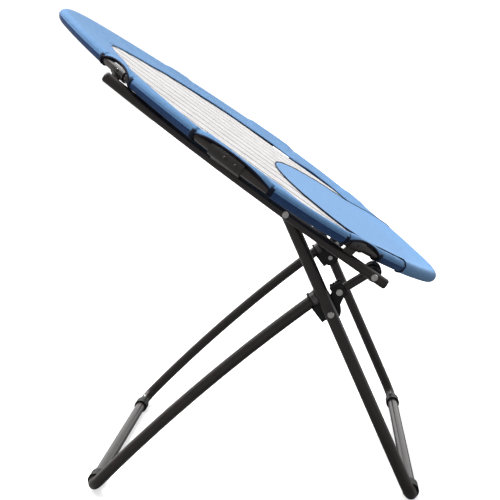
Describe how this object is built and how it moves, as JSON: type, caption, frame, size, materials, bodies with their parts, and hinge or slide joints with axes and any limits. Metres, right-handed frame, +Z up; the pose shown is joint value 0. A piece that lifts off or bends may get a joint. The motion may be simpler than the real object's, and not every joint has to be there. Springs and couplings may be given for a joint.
{
  "type": "folding lounge chair",
  "caption": "Folding lounge chair with an oval fabric-covered tube ring, elastic seat bands and U-shaped folding leg frames on linked hinges.",
  "frame": {"origin": "on the floor under the middle of the chair's bounding box", "axes": "+X towards the sitter's feet, +Y to the sitter's left, +Z up"},
  "size_m": [0.7224, 0.7782, 0.9103],
  "materials": {
    "frame_steel": "satin powder coat",
    "bracket_steel": "satin powder coat",
    "black_plastic": "moulded, fine grain",
    "rivet_steel": "zinc plated",
    "nylon": "matt",
    "cover_fabric": "woven polyester",
    "elastic": "ribbed woven elastic"
  },
  "bodies": {
    "front_legs": {"front_leg_frame": "frame_steel", "front_leg_plugs": "black_plastic", "front_glide_left": "black_plastic", "front_glide_right": "black_plastic", "seat_pivot_rivets": "rivet_steel", "seat_pivot_washers": "nylon", "knee_rivets": "rivet_steel", "knee_washers": "nylon"},
    "seat": {"seat_rail_left": "frame_steel", "seat_rail_right": "frame_steel", "rail_end_plugs": "black_plastic", "ring_top_arc": "frame_steel", "ring_upper_left": "frame_steel", "ring_upper_right": "frame_steel", "ring_lower_left": "frame_steel", "ring_lower_right": "frame_steel", "ring_front_arc": "frame_steel", "ring_bracket_top_left": "bracket_steel", "ring_bracket_top_right": "bracket_steel", "ring_bracket_side_left": "bracket_steel", "ring_bracket_side_right": "bracket_steel", "ring_bracket_front_left": "bracket_steel", "ring_bracket_front_right": "bracket_steel", "ring_rivets": "bracket_steel", "link_top_rivets": "rivet_steel", "ring_cover": "cover_fabric", "seat_panel": "cover_fabric", "elastic_band_01": "elastic", "elastic_band_02": "elastic", "elastic_band_03": "elastic", "elastic_band_04": "elastic", "elastic_band_05": "elastic", "elastic_band_06": "elastic", "elastic_band_07": "elastic", "elastic_band_08": "elastic", "elastic_band_09": "elastic", "elastic_band_10": "elastic"},
    "rear_legs": {"rear_leg_frame": "frame_steel", "hinge_bracket_left": "black_plastic", "hinge_bracket_right": "black_plastic", "rear_glide_left": "black_plastic", "rear_glide_right": "black_plastic", "link_release_pins": "rivet_steel", "socket_collars": "rivet_steel", "release_hooks": "black_plastic"},
    "link_left": {"link_tube_left": "frame_steel", "link_knuckle_left": "black_plastic", "link_eye_left": "black_plastic"},
    "link_right": {"link_tube_right": "frame_steel", "link_knuckle_right": "black_plastic", "link_eye_right": "black_plastic"}
  },
  "joints": [
    {"name": "rear_fold", "type": "hinge", "parent": "front_legs", "child": "rear_legs", "pos_m": [0.15287, 0, 0.35809], "axis": [0, 1, 0], "range_deg": [-68, 0]},
    {"name": "seat_fold", "type": "hinge", "parent": "front_legs", "child": "seat", "pos_m": [0.0815, 0, 0.5345], "axis": [0, 1, 0], "range_deg": [0, 14]},
    {"name": "link_left_swing", "type": "hinge", "parent": "seat", "child": "link_left", "pos_m": [0.226, 0, 0.42635], "axis": [0, 1, 0], "range_deg": [0, 13.6]},
    {"name": "link_right_swing", "type": "hinge", "parent": "seat", "child": "link_right", "pos_m": [0.226, 0, 0.42635], "axis": [0, 1, 0], "range_deg": [0, 13.6]}
  ],
  "couplings": [
    {"joint": "seat_fold", "follows": "rear_fold", "ratio": -0.2042},
    {"joint": "link_left_swing", "follows": "rear_fold", "ratio": -0.1985},
    {"joint": "link_right_swing", "follows": "rear_fold", "ratio": -0.1985}
  ]
}
